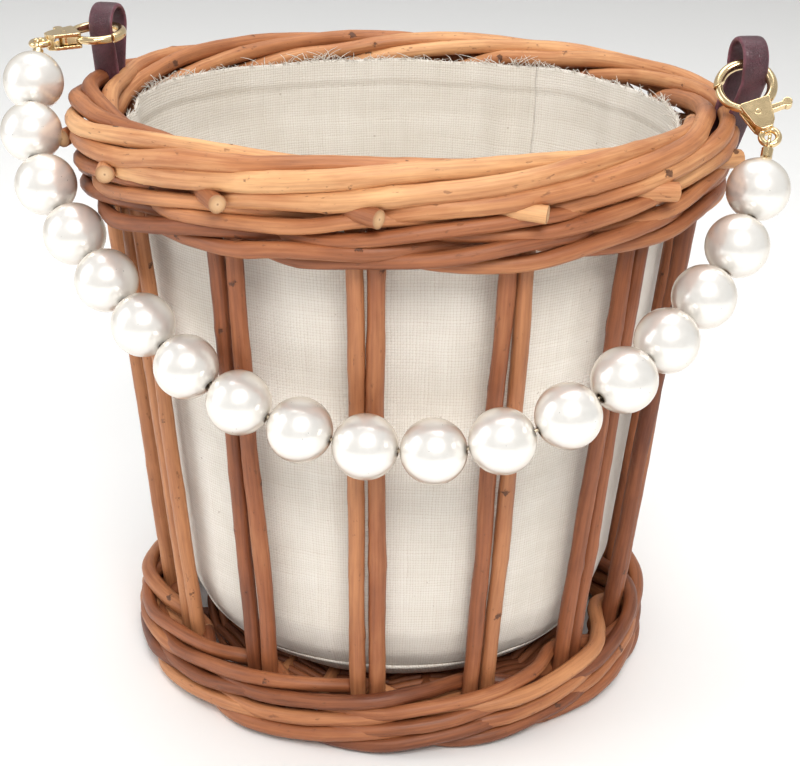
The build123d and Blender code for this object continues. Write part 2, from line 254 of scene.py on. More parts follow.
# ---------------------------------------------------------------- material helpers
class Shader:
    """A material's node tree, with short calls for the nodes used here."""

    def __init__(self, name):
        self.material = bpy.data.materials.new(name)
        self.material.use_nodes = True
        self.tree = self.material.node_tree
        self.shader = self.tree.nodes["Principled BSDF"]

    def node(self, kind, *sources, **settings):
        """A node with its first inputs joined to sockets or set to values."""
        made = self.tree.nodes.new("ShaderNode" + kind)
        for key, value in settings.items():
            if hasattr(made, key):
                setattr(made, key, value)
            else:
                self.feed(made.inputs[key.replace("_", " ")], value)
        for socket, source in zip(made.inputs, sources):
            if source is not None:
                self.feed(socket, source)
        return made

    def feed(self, socket, source):
        if isinstance(source, bpy.types.NodeSocket):
            self.tree.links.new(source, socket)
        else:
            socket.default_value = source

    def attribute(self, name):
        return self.node("Attribute", attribute_name=name)

    def math(self, operation, *sources, clamp=False):
        return self.node("Math", *sources, operation=operation, use_clamp=clamp).outputs[0]

    def scaled(self, vector, scale):
        return self.node("VectorMath", vector, tuple(scale), operation="MULTIPLY").outputs[0]

    def noise(self, vector, scale, detail=3.0, rough=0.55):
        made = self.node("TexNoise", Scale=scale, Detail=detail, Roughness=rough)
        self.feed(made.inputs["Vector"], vector)
        return made.outputs[0]

    def ramp(self, value, *stops):
        """Colour ramp; each stop is (place, grey or colour)."""
        made = self.node("ValToRGB", value)
        elements = made.color_ramp.elements
        while len(elements) < len(stops):
            elements.new(0.5)
        for element, (place, colour) in zip(elements, stops):
            element.position = place
            rgb = (colour,) * 3 if isinstance(colour, (int, float)) else colour
            element.color = (*rgb, 1)
        return made.outputs[0]

    def mix(self, share, a, b, blend="MIX"):
        made = self.node("Mix", data_type="RGBA", blend_type=blend)
        for index, value in ((0, share), (6, a), (7, b)):
            source = (*value, 1) if isinstance(value, tuple) else value
            self.feed(made.inputs[index], source)
        return made.outputs[2]

    def bump(self, height, distance, strength=1.0, normal=None):
        made = self.node("Bump", Strength=strength, Distance=distance)
        self.feed(made.inputs["Height"], height)
        if normal is not None:
            self.feed(made.inputs["Normal"], normal)
        return made.outputs[0]

    def finish(self, colour, roughness, normal=None, **constants):
        """Join the colour, roughness and normal, and set the shader's own constants."""
        self.feed(self.shader.inputs["Base Color"], (*colour, 1) if isinstance(colour, tuple) else colour)
        self.feed(self.shader.inputs["Roughness"], roughness)
        if normal is not None:
            self.feed(self.shader.inputs["Normal"], normal)
        for key, value in constants.items():
            self.shader.inputs[key.replace("_", " ")].default_value = value
        return self.material


def willow(name, dark, middle, light):
    """Peeled, steamed willow: long grain, mottled tone, bud scars, small nicks and pale cut ends."""
    s = Shader(name)
    place = s.attribute("rod").outputs["Vector"]
    tint = s.attribute("tint").outputs["Fac"]
    knot = s.attribute("knot").outputs["Fac"]
    cut = s.attribute("cut").outputs["Fac"]
    patches = s.noise(s.scaled(place, (1, 1, 0.28)), 120, 4, 0.6)
    streaks = s.noise(s.scaled(place, (1, 1, 0.035)), 1500, 4, 0.6)
    fibres = s.noise(s.scaled(place, (1, 1, 0.02)), 4200, 2, 0.5)
    tone = s.math("ADD", s.math("MULTIPLY", patches, 0.50), s.math("MULTIPLY", tint, 0.32))
    tone = s.math("ADD", tone, s.math("MULTIPLY", streaks, 0.22))
    colour = s.ramp(tone, (0.30, dark), (0.51, middle), (0.72, light))
    grain = s.ramp(streaks, (0.3, 0.80), (0.55, 1.0), (0.8, 1.06))
    colour = s.mix(0.75, colour, grain, "MULTIPLY")
    speckle = s.noise(s.scaled(place, (1, 1, 0.45)), 900, 2, 0.6)
    specks = s.ramp(speckle, (0.66, 0.0), (0.73, 1.0))
    colour = s.mix(s.math("MULTIPLY", specks, 0.55), colour, (0.16, 0.060, 0.024))
    ragged = s.math("ADD", knot, s.math("MULTIPLY", s.noise(place, 1600, 3), 0.9))
    scars = s.ramp(ragged, (0.86, 0.0), (1.12, 1.0))
    colour = s.mix(s.math("MULTIPLY", scars, 0.85), colour, (0.075, 0.028, 0.014))
    core = s.node("VectorMath", s.scaled(place, (1, 1, 0)), operation="LENGTH").outputs["Value"]
    rings = s.ramp(s.math("DIVIDE", core, 2.1 * MM), (0.0, (0.20, 0.09, 0.04)), (0.16, (0.66, 0.44, 0.25)),
                   (0.62, (0.55, 0.33, 0.17)), (0.9, (0.34, 0.17, 0.08)))
    colour = s.mix(cut, colour, rings)
    roughness = s.ramp(patches, (0.3, 0.42), (0.7, 0.58))
    relief = s.math("ADD", s.math("MULTIPLY", streaks, 0.7), s.math("MULTIPLY", fibres, 0.3))
    relief = s.math("SUBTRACT", relief, s.math("MULTIPLY", scars, 1.3))
    relief = s.math("SUBTRACT", relief, s.math("MULTIPLY", specks, 0.5))
    normal = s.bump(relief, 0.16 * MM, 0.8)
    return s.finish(colour, roughness, normal, Specular_IOR_Level=0.42)


def linen(name, dark, light):
    """Plain-woven linen: over and under threads with slubs, small flecks and painted shade in the gaps
    between the threads.
    """
    s = Shader(name)
    place = s.attribute("weave").outputs["Vector"]
    warp = s.noise(s.scaled(place, (1, 0.12, 1)), 260, 3, 0.6)
    weft = s.noise(s.scaled(place, (0.12, 1, 1)), 260, 3, 0.6)
    axes = s.node("SeparateXYZ", place)
    pitch = 0.68 * MM
    u = s.math("ADD", s.math("DIVIDE", axes.outputs[0], pitch), s.math("MULTIPLY", warp, 2.6))
    v = s.math("ADD", s.math("DIVIDE", axes.outputs[1], pitch), s.math("MULTIPLY", weft, 2.6))
    across_u = s.math("ABSOLUTE", s.math("SINE", s.math("MULTIPLY", u, math.pi)))
    across_v = s.math("ABSOLUTE", s.math("SINE", s.math("MULTIPLY", v, math.pi)))
    checks = s.math("ADD", s.math("FLOOR", u), s.math("FLOOR", v))
    over = s.math("PINGPONG", checks, 1.0)
    on_top = s.math("ADD", s.math("MULTIPLY", across_u, over),
                    s.math("MULTIPLY", across_v, s.math("SUBTRACT", 1.0, over)))
    gap = s.math("MULTIPLY", across_u, across_v)
    height = s.math("ADD", s.math("MULTIPLY", on_top, 0.55), s.math("MULTIPLY", gap, 0.45))
    yarn = s.math("MULTIPLY", s.math("ADD", warp, weft), 0.5)
    blotch = s.noise(place, 42, 3, 0.5)
    tone = s.math("ADD", s.math("MULTIPLY", yarn, 0.5), s.math("MULTIPLY", blotch, 0.5))
    colour = s.ramp(tone, (0.32, dark), (0.66, light))
    # Painted shade: the colour darkens where the weave dips and in the gaps between threads.
    depth = s.ramp(height, (0.05, (0.62, 0.52, 0.44)), (0.42, (1.0, 1.0, 1.0)))
    colour = s.mix(0.55, colour, depth, "MULTIPLY")
    flecks = s.ramp(s.noise(place, 620, 1, 0.4), (0.77, 0.0), (0.81, 1.0))
    colour = s.mix(s.math("MULTIPLY", flecks, 0.5), colour, (0.30, 0.21, 0.14))
    relief = s.math("ADD", height, s.math("MULTIPLY", yarn, 0.6))
    normal = s.bump(relief, 0.14 * MM, 0.75)
    return s.finish(colour, 0.88, normal, Sheen_Weight=0.15, Sheen_Roughness=0.5, Specular_IOR_Level=0.2)


def thread(name, colour):
    """Loose linen thread."""
    s = Shader(name)
    place = s.node("TexCoord").outputs["Object"]
    twist = s.noise(place, 2600, 2)
    tone = s.ramp(twist, (0.35, tuple(0.72 * c for c in colour)), (0.65, colour))
    return s.finish(tone, 0.9, s.bump(twist, 0.05 * MM), Specular_IOR_Level=0.2)


def leather(name, dark, light):
    """Dyed leather strip with fine pores, painted shade in their creases, and worn, slightly lighter edges.
    """
    s = Shader(name)
    place = s.attribute("strip").outputs["Vector"]
    cells = s.node("TexVoronoi", feature="DISTANCE_TO_EDGE", Scale=1900.0)
    s.feed(cells.inputs["Vector"], place)
    creases = s.ramp(cells.outputs["Distance"], (0.0, 0.0), (0.16, 1.0))
    clouds = s.noise(place, 210, 4)
    colour = s.ramp(clouds, (0.3, dark), (0.72, light))
    # Painted shade: the colour darkens along the creases between the grain's cells.
    colour = s.mix(0.35, colour, creases, "MULTIPLY")
    edge = s.attribute("edge").outputs["Fac"]
    worn = s.math("MULTIPLY", edge, s.ramp(s.noise(place, 520, 3), (0.35, 0.25), (0.65, 0.9)))
    colour = s.mix(worn, colour, tuple(min(1.0, 2.2 * c) for c in light))
    height = s.math("ADD", creases, s.math("MULTIPLY", clouds, 0.8))
    roughness = s.ramp(clouds, (0.3, 0.34), (0.7, 0.5))
    return s.finish(colour, roughness, s.bump(height, 0.07 * MM, 0.7), Specular_IOR_Level=0.5,
                    Coat_Weight=0.15, Coat_Roughness=0.3)


def metal(name, colour, base_roughness, brushed=1.0):
    """Plated metal with hairline wear and a slightly uneven polish."""
    s = Shader(name)
    place = s.node("TexCoord").outputs["Object"]
    clouds = s.noise(place, 320, 4)
    hairs = s.noise(s.scaled(place, (1, 0.08, 1)), 5200, 2)
    tone = s.ramp(clouds, (0.3, tuple(0.86 * c for c in colour)), (0.7, colour))
    roughness = s.ramp(s.math("ADD", s.math("MULTIPLY", clouds, 0.6), s.math("MULTIPLY", hairs, 0.4)),
                       (0.3, base_roughness * 0.75), (0.75, base_roughness * 1.5))
    normal = s.bump(hairs, 0.012 * MM * brushed, 0.5, s.bump(clouds, 0.1 * MM, 0.12))
    return s.finish(tone, roughness, normal, Metallic=1.0)


def pearl(name):
    """Imitation pearl: nacre that shines like soft metal face on, with a painted warm reflection that darkens
    its rim.
    """
    s = Shader(name)
    place = s.node("TexCoord").outputs["Object"]
    body = s.noise(place, 130, 3)
    dimples = s.noise(place, 900, 2)
    # Painted reflection: towards the rim, as the camera sees it, the colour turns a darker warm tan.
    rim = s.node("LayerWeight", Blend=0.5).outputs["Facing"]
    colour = s.ramp(body, (0.3, (0.855, 0.83, 0.785)), (0.7, (0.885, 0.865, 0.83)))
    colour = s.mix(s.ramp(rim, (0.40, 0.0), (0.92, 0.80)), colour, (0.70, 0.58, 0.43))
    # Painted shade: inside the bore the colour is darkened to brown.
    core = s.attribute("bore").outputs["Fac"]
    colour = s.mix(core, colour, (0.36, 0.28, 0.20))
    roughness = s.ramp(dimples, (0.2, 0.27), (0.8, 0.31))
    return s.finish(colour, roughness, s.bump(body, 0.05 * MM, 0.1), Specular_IOR_Level=0.6,
                    Metallic=0.5, Coat_Weight=1.0, Coat_Roughness=0.04, Coat_IOR=1.55)


# Lit and shaded copies of one willow: the border's lighter colours are painted light on the basket's top, and
# the wales, stakes and base get darker copies as painted shade.
WILLOW_BORDER_PAINTED_LIGHT = willow("willow_border", (0.21, 0.058, 0.020), (0.47, 0.185, 0.072), (0.74, 0.41, 0.19))
WILLOW_WALE_PAINTED_SHADE = willow("willow_wale", (0.14, 0.037, 0.014), (0.34, 0.115, 0.044), (0.58, 0.26, 0.11))
WILLOW_STAKE_PAINTED_SHADE = willow("willow_stake", (0.13, 0.034, 0.013), (0.31, 0.102, 0.040), (0.50, 0.215, 0.092))
WILLOW_BASE_PAINTED_SHADE = willow("willow_base", (0.13, 0.036, 0.014), (0.33, 0.112, 0.044), (0.52, 0.225, 0.097))
LINEN = linen("linen_cloth", (0.74, 0.685, 0.605), (0.86, 0.82, 0.755))
LINEN_THREAD = thread("linen_thread", (0.82, 0.77, 0.69))
LEATHER = leather("plum_leather", (0.050, 0.012, 0.020), (0.105, 0.028, 0.042))
GOLD = metal("pale_gold", (0.86, 0.66, 0.38), 0.17)
SPRING = metal("spring_wire", (0.62, 0.60, 0.57), 0.25)
WIRE = metal("strand_wire", (0.62, 0.52, 0.38), 0.35)
PEARL = pearl("pearl_coat")

# ---------------------------------------------------------------- camera
CAMERA_AT = (75.2 * MM, -354.1 * MM, 218.3 * MM)
CAMERA_TURN = 11.9               # degrees round to the left of straight ahead
CAMERA_DIP = 22.65
CAMERA_ROLL = 1.05
camera_data = bpy.data.cameras.new("camera")
camera_data.sensor_width = 36
camera_data.lens = 68.15
camera_data.clip_start = 0.01
camera = bpy.data.objects.new("camera", camera_data)
bpy.context.scene.collection.objects.link(camera)
camera.matrix_world = (
    Matrix.Translation(CAMERA_AT)
    @ Matrix.Rotation(math.radians(CAMERA_TURN), 4, "Z")
    @ Matrix.Rotation(math.radians(90 - CAMERA_DIP), 4, "X")
    @ Matrix.Rotation(math.radians(CAMERA_ROLL), 4, "Z")
)
bpy.context.scene.camera = camera

# ---------------------------------------------------------------- bead strand
STRAND = (
    (-82.2, -28.7, 145.2),
    (-77.2, -42.2, 131.3),
    (-63.0, -52.4, 117.0),
    (-45.8, -64.2, 104.6),
    (-26.5, -74.0, 94.0),
    (-3.0, -77.5, 86.2),
    (21.9, -77.6, 84.5),
    (44.1, -75.7, 90.7),
    (61.0, -64.9, 99.5),
    (73.4, -44.0, 108.6),
    (84.1, -28.0, 124.1),
)
WIRE_D = 0.8 * MM
BEAD_R = 7.0 * MM
BEAD_PITCH = 14.4 * MM
BORE_R = 1.0 * MM
CAP_END = 2.2 * MM               # half a cap's barrel, from its middle to the wire


def cap_mouth(side):
    """Where the wire leaves an end cap: the point of the cap's box nearest the next bead."""
    low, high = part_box(f"end_cap_{side}")
    middle = (low + high) / 2
    ahead = Vector(STRAND[0 if side == "left" else -1]) * MM
    return middle + (ahead - middle).normalized() * CAP_END


def make_strand():
    """The wire, as a smooth curve through the route, and the polyline that it follows."""
    data = bpy.data.curves.new("strand_line", "CURVE")
    data.dimensions = "3D"
    data.resolution_u = 16
    route = [cap_mouth("left"), *[Vector(p) * MM for p in STRAND], cap_mouth("right")]
    spline = data.splines.new("NURBS")
    spline.points.add(len(route) - 1)
    for point, place in zip(spline.points, route):
        point.co = (*place, 1)
    spline.order_u = 3
    spline.use_endpoint_u = True
    obj = bpy.data.objects.new("bead_wire", data)
    bpy.context.scene.collection.objects.link(obj)
    bpy.context.view_layer.update()
    line = bpy.data.meshes.new_from_object(obj.evaluated_get(bpy.context.evaluated_depsgraph_get()))
    path = np.array([v.co for v in line.vertices], float)
    data.bevel_depth = WIRE_D / 2
    data.bevel_resolution = 4
    data.use_fill_caps = True
    return obj, path, route[0]


def bead_profile():
    """Half outline of a drilled bead: round the outside from lip to lip, then back through the bore."""
    lip = 0.22 * MM
    start = math.asin((BORE_R + lip) / BEAD_R)
    arc = np.linspace(start, math.pi - start, 40)
    outside = [(BEAD_R * math.sin(a), BEAD_R * math.cos(a)) for a in arc]
    top = outside[0][1]
    rounding = [
        (BORE_R + 0.5 * lip, top + 0.02 * MM),
        (BORE_R + 0.1 * lip, top - 0.12 * MM),
        (BORE_R, top - 0.4 * MM),
    ]
    bore = [(BORE_R, z) for z in np.linspace(top - 1.2 * MM, 1.2 * MM - top, 6)]
    mirrored = [(r, -z) for r, z in reversed(rounding)]
    return np.array([*outside, *mirrored, *bore[::-1], *rounding[::-1]])


def bead_mesh(number):
    """One bead turned on its bore, with a little unevenness of its own."""
    rng = dice(f"bead {number}")
    outline = bead_profile()
    segments = 56
    turn = np.arange(segments) * TURN / segments
    r, z = outline[:, 0][:, None], outline[:, 1][:, None]
    uneven = 1 + 0.004 * np.cos(2 * turn + TURN * rng.random()) * (r / BEAD_R)
    verts = np.stack(np.broadcast_arrays(r * uneven * np.cos(turn), r * uneven * np.sin(turn), z), -1)
    faces = grid_faces(len(outline) + 1, segments, True)
    faces = [tuple(k % (len(outline) * segments) for k in f) for f in faces]
    # Painted shade mask: the vertices inside the bore, which the pearl's colour darkens.
    dark = np.repeat((outline[:, 0] < BORE_R * 1.12).astype(float), segments)
    return verts.reshape(-1, 3), faces, dark


def make_beads(path):
    """Eighteen beads spaced evenly along the wire, each standing for its CAD node."""
    steps = np.linalg.norm(np.diff(path, axis=0), axis=1)
    along = np.concatenate([[0], np.cumsum(steps)])
    nodes = sorted(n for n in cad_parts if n.startswith("pearl_"))
    first = (along[-1] - (len(nodes) - 1) * BEAD_PITCH) / 2
    beads = []
    for number, node in enumerate(nodes):
        at = first + number * BEAD_PITCH
        where = [np.array([np.interp(at + d, along, path[:, k]) for k in range(3)]) for d in (-MM, 0, MM)]
        verts, faces, dark = bead_mesh(number)
        turn = Vector(where[2] - where[0]).to_track_quat("Z", "Y").to_matrix()
        turn = turn @ Matrix.Rotation(TURN * dice(node).random(), 3, "Z")
        obj = make_mesh(f"bead_{number + 1:02d}", verts, faces, (("bore", dark),))
        obj.matrix_world = Matrix.Translation(where[1]) @ turn.to_4x4()
        beads.append(dress(obj, PEARL, "handle", "pearl", node))
    return beads


wire, wire_path, wire_start = make_strand()
dress(wire, WIRE, "handle", "wire", "strand_wire")
beads = make_beads(wire_path)


# ---------------------------------------------------------------- willow: stakes
def stake_axis(angle, offset, z, swing=0.0):
    """Points on one leaning stake, offset along the basket's side."""
    a = math.radians(angle)
    out, along = np.array((math.sin(a), -math.cos(a), 0)), np.array((math.cos(a), math.sin(a), 0))
    radius = STAKE_FOOT_R + STAKE_LEAN * z + swing
    return out * radius[:, None] + along * offset[:, None] + np.array((0, 0, 1)) * z[:, None]


def make_stakes():
    """Fourteen pairs of upright rods, a little crooked, from the foot up into the border."""
    for index, node in enumerate(PAIR_NODES):
        rods = Rods(f"stakes_{index + 1:02d}")
        angle = node_angle(node)
        for side in (-1, 1):
            z = np.linspace(1.8 * MM, BORDER_Z + 1.5 * MM, 80)
            spread = rods.rng.uniform(-0.25, 0.35, 2) * MM
            offset = side * (STAKE_GAP / 2 + np.interp(z, (z[0], z[-1]), spread))
            offset = offset + wander(rods.rng, z, 90 * MM, 0.22 * MM)
            path = stake_axis(angle, offset, z, wander(rods.rng, z, 110 * MM, 0.25 * MM))
            rods.add(path, STAKE_R * rods.rng.uniform(0.94, 1.03), taper=rods.rng.uniform(0.94, 1.02))
        rods.build(WILLOW_STAKE_PAINTED_SHADE, "willow_stake", node)


# ---------------------------------------------------------------- willow: waling bands
BEHIND = 0                       # step of a stroke: behind one pair, then outside two
STROKE_OUT = (-1.0, 0.28, 1.0, 1.10, 1.0, 0.28)
STROKE_UP = (0.0, -1.0, -0.85, 0.0, 0.85, 1.0)
FOOT_SWELL = 1.2 * MM            # the foot is wider towards one side
SWELL_ANGLE = -50
SWELL_TOP = 40 * MM
LOWEST_ROD_Z = 1.9 * MM


def wale_loop(rng, level, circle, depth, rise, jitter):
    """One round of three-rod waling: a rod that goes round three times, outside two pairs and behind one."""
    pairs = len(PAIR_NODES)
    halves = np.arange(3 * pairs * 2 + 1)
    stroke = halves % 6
    out = np.take(STROKE_OUT, stroke)
    up = np.take(STROKE_UP, stroke)
    wobble = rng.normal(0, jitter, (2, len(halves)))
    z = level + rise * up + wobble[0]
    r = circle(z) + depth * out + np.where(stroke == BEHIND, 0, wobble[1] * 0.8)
    turn = PHASE + PITCH * halves / 2 + np.where(stroke == BEHIND, 0, rng.normal(0, 1.0, len(halves)))
    swell = FOOT_SWELL * np.cos(np.radians(turn - SWELL_ANGLE)) * np.clip(1 - z / SWELL_TOP, 0, 1)
    return smooth_path(ring_point(turn, r + swell, np.maximum(z, LOWEST_ROD_Z)), 7)


def make_wale(name, node, rods_in, rod_r, circle, depth, rise, material, slot):
    """A waling band of several rounds. Each round's rod changes tint where it is hidden behind a pair."""
    rods = Rods(name, sides=10)
    for level, jitter in rods_in:
        path = wale_loop(rods.rng, level, circle, depth, rise, jitter)
        cut = len(path) // 7
        for k in range(7):
            piece = path[k * cut:(k + 1) * cut + 2] if k < 6 else path[k * cut:]
            rods.add(piece, rod_r * rods.rng.uniform(0.92, 1.08), knot_every=30 * MM)
    return rods.build(material, slot, node)


def stake_circle(z):
    """Radius of the stake circle at a height."""
    return STAKE_FOOT_R + STAKE_LEAN * z


def make_wales():
    top_r, foot_r = 1.72 * MM, 1.85 * MM
    make_wale("top_wale_rods", "top_waling",
              [(WALE_FOOT_Z + 2.1 * MM, 0.4 * MM), (WALE_FOOT_Z + 7.7 * MM, 0.4 * MM)],
              top_r, lambda z: stake_circle(z) + 0.7 * MM, 4.2 * MM, 2.0 * MM, WILLOW_WALE_PAINTED_SHADE, "willow_wale")
    foot_step = (FOOT_TOP_Z - 2 * foot_r) / 3
    levels = [(foot_r + foot_step * (k + 0.5), 0.3 * MM) for k in range(3)]
    make_wale("foot_wale_rods", "bottom_waling", levels, foot_r,
              lambda z: stake_circle(z) + (2.6 * MM - 0.13 * z), 4.4 * MM, 1.9 * MM,
              WILLOW_WALE_PAINTED_SHADE, "willow_wale")


# ---------------------------------------------------------------- willow: rolled border
ROLL_R = 73.7 * MM               # middle of the rolled border
ROLL_Z = BORDER_Z + 5.0 * MM
ROLL_WIDE, ROLL_HIGH = 4.7 * MM, 4.0 * MM
ROLL_TURN = 58                   # degrees that a rod rolls over from one pair to the next
BORDER_ROD_R = 2.15 * MM


def border_rod(rng, angle, end_shift):
    """One border rod: up from its pair, rolled over and inside, then out under the roll to a cut end."""
    share = np.arange(0.3, 4.31, 0.5)
    roll = np.radians(-55 + ROLL_TURN * (share - 0.3) + rng.normal(0, 5, len(share)))
    r = ROLL_R + (ROLL_WIDE + rng.normal(0, 0.25 * MM, len(share))) * np.cos(roll)
    r = np.minimum(r, RIM_R - 1.12 * BORDER_ROD_R)
    z = ROLL_Z + (ROLL_HIGH + rng.normal(0, 0.2 * MM, len(share))) * np.sin(roll)
    lead_in = np.array((
        (-0.08, 72.4, -4.5),
        (0.0, 73.2, -1.0),
    ))
    lead_out = np.array((
        (4.62, 69.7, 2.3),
        (4.80, 72.4, 0.5),
        (4.98, 77.2, 1.2),
        (5.12, 80.6, 0.9),
    ))
    lead_out[:, 0] += end_shift / PITCH
    rows = [lead_in, np.stack([share, r / MM, (z - BORDER_Z) / MM], 1), lead_out]
    table = np.vstack(rows)
    turn, r, z = (table * (PITCH, MM, MM)).T
    return smooth_path(ring_point(angle + turn, r, BORDER_Z + z), 8)


def make_border():
    rods = Rods("border_rods", sides=14)
    for node in PAIR_NODES:
        angle = node_angle(node)
        crowd = -8.6 * math.sin(math.radians(angle + 5 * PITCH))
        path = border_rod(rods.rng, angle, crowd * 0.5)
        rods.add(path, BORDER_ROD_R * rods.rng.uniform(0.93, 1.06), taper=0.93, knot_every=24 * MM)
    return rods.build(WILLOW_BORDER_PAINTED_LIGHT, "willow_border", "rolled_border")


# ---------------------------------------------------------------- willow: base
STICK_R = 1.6 * MM


def make_base():
    """Two crossing layers of base sticks, fanned a little, and the rods woven round them in a spiral."""
    for name, along_x in (("base_sticks_lower", True), ("base_sticks_upper", False)):
        low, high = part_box(name)
        rods = Rods(name + "_rods", sides=10)
        reach = high.x if along_x else high.y
        width = high.y if along_x else high.x
        for offset in np.linspace(-width + STICK_R, width - STICK_R, 4):
            run = np.linspace(-0.98 * reach, 0.98 * reach, 40)
            fan = offset * (1 + 0.9 * np.clip(np.abs(run) / reach - 0.3, 0, 1))
            z = np.full(len(run), (low.z + high.z) / 2)
            path = np.stack([run, fan, z] if along_x else [fan, run, z], 1)
            rods.add(path, STICK_R)
        rods.build(WILLOW_BASE_PAINTED_SHADE, "willow_base", name)
    low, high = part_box("base_weave")
    weave = Rods("base_weave_rods", sides=8)
    rod_r, inner, step = 1.15 * MM, 15.8 * MM, 2.45 * MM
    rounds = (high.x - rod_r - inner) / step
    turn = np.arange(0, rounds * 360, 4.0)
    for phase in (0, math.pi):
        r = inner + step * turn / 360 + (phase > 0) * 0.2 * MM
        z = (low.z + high.z) / 2 + (1.9 * MM) * np.cos(8 * np.radians(turn) + phase)
        weave.add(ring_point(turn, r, z), rod_r, knot_every=60 * MM)
    weave.build(WILLOW_BASE_PAINTED_SHADE, "willow_base", "base_weave")


make_stakes()
make_wales()
make_border()
make_base()

# ---------------------------------------------------------------- linen liner
CLOTH_T = 0.55 * MM
CLOTH_INSET = 0.45 * MM          # the cloth's middle, inside the CAD panel's outer face
HEM = 7.0 * MM
SIDE_SEAM = 158.0                # angle of the side panel's sewn seam
SIDE_SHAPE = (
    (15.0, 52.4),
    (20.0, 55.2),
    (27.0, 57.4),
    (70.0, 61.2),
    (116.0, 65.2),
    (124.0, 66.2),
    (138.8, 66.4),
)                                # height and outer radius, mm


def fold_depth(angle, height):
    """How far the loose cloth falls inwards at an angle and a height share, in metres."""
    rng = dice("folds")
    depth = np.zeros(np.broadcast(angle, height).shape)
    for _ in range(26):
        where, wide = rng.uniform(0, 360), rng.uniform(2.5, 9)
        lean, size = rng.uniform(-10, 10), rng.uniform(0.35, 1.5) * MM
        low, high = sorted(rng.uniform(-0.2, 1.2, 2))
        apart = (angle - where - lean * (height - 0.5) + 180) % 360 - 180
        reach = 1 / (1 + np.exp(-(height - low) * 14)) / (1 + np.exp((height - high - 0.25) * 14))
        depth += size * np.exp(-(apart / wide) ** 2) * reach
    a = np.radians(angle)
    slack = 0.5 + 0.5 * np.sin(5 * a + 2.2 * height + 0.7)
    depth += 0.7 * MM * slack * (1 - height) ** 0.6
    return depth


def top_edge(angle):
    """Height of the raw top edge round the rim."""
    a = np.radians(angle)
    wave = 0.35 * np.sin(3 * a + 0.4) + 0.25 * np.sin(7 * a + 2) + 0.15 * np.sin(17 * a + 1)
    return LINER_HIGH.z + wave * MM


def side_panel_point(angle, share):
    """Middle of the cloth at an angle and a share of the way up, with its distance up the cloth."""
    heights, radii = np.array(SIDE_SHAPE).T * MM
    top = top_edge(angle)
    z = LINER_LOW.z + (top - LINER_LOW.z) * share
    r = np.interp(z, heights, radii) - CLOTH_INSET - fold_depth(angle, share)
    hem = 1 / (1 + np.exp(-(z - (top - HEM)) / (0.35 * MM)))
    r = r - 0.45 * MM * hem + 0.35 * MM * np.exp(-((z - top + HEM) / (0.6 * MM)) ** 2)
    return ring_point(angle, r, z), z


def make_side_panel():
    columns, rows = 520, 150
    angle = SIDE_SEAM + np.linspace(0, 360, columns)[None, :]
    share = np.linspace(0, 1, rows)[:, None]
    verts, z = side_panel_point(angle, share)
    around = np.radians(angle) * 61.5 * MM
    weave = np.stack(np.broadcast_arrays(around, z, 0.0), -1).reshape(-1, 3)
    obj = make_mesh("liner_side", verts.reshape(-1, 3), grid_faces(rows, columns, False), (("weave", weave),))
    solid = obj.modifiers.new("cloth", "SOLIDIFY")
    solid.thickness = CLOTH_T
    solid.offset = 0
    return dress(obj, LINEN, "basket", "linen", "liner_side_panel")


def make_base_panel():
    """The round bottom panel, sagging onto the base with soft wrinkles."""
    columns, rows = 200, 70
    angle = np.linspace(0, 360, columns, endpoint=False)[None, :]
    seam_r = (SIDE_SHAPE[0][1] * MM) - CLOTH_INSET
    run = np.linspace(0, 1, rows)[:, None]
    r = seam_r * run
    floor = LINER_FLOOR + CLOTH_INSET + 0.2 * MM
    curl = np.clip((r - 44 * MM) / (seam_r - 44 * MM), 0, 1)
    z = floor + (LINER_LOW.z - floor) * curl ** 1.6
    a = np.radians(angle)
    wrinkle = np.sin(3 * a + 40 * run) * 0.25 + np.sin(9 * a + 1.3) * 0.3 * run
    wrinkle = wrinkle + np.sin(14 * a + 9 * run) * 0.15 * run
    z = z + np.abs(wrinkle) * MM * (1 - curl) * run
    verts = ring_point(angle, r, z)
    faces = grid_faces(rows, columns, True)
    flat = verts.reshape(-1, 3)
    obj = make_mesh("liner_floor", flat, faces, (("weave", flat * (1, 1, 0)),))
    solid = obj.modifiers.new("cloth", "SOLIDIFY")
    solid.thickness = CLOTH_T
    solid.offset = 0
    return dress(obj, LINEN, "basket", "linen", "liner_base_panel")


def thin_tubes(name, paths, radii, sides):
    """Many fine threads in one mesh."""
    verts, faces, count = [], [], 0
    for path, radius in zip(paths, radii):
        _, _, side, up = path_frames(path)
        theta = np.arange(sides) * TURN / sides
        taper = np.interp(np.linspace(0, 1, len(path)), (0, 0.7, 1), (1, 0.9, 0.45))[:, None, None]
        ring = side[:, None, :] * np.cos(theta)[None, :, None] + up[:, None, :] * np.sin(theta)[None, :, None]
        verts.append((path[:, None, :] + ring * radius * taper).reshape(-1, 3))
        faces += [tuple(count + k for k in f) for f in grid_faces(len(path), sides, True)]
        faces.append(tuple(count + k for k in reversed(range(sides))))
        faces.append(tuple(count + (len(path) - 1) * sides + k for k in range(sides)))
        count += len(path) * sides
    return make_mesh(name, np.vstack(verts), faces)


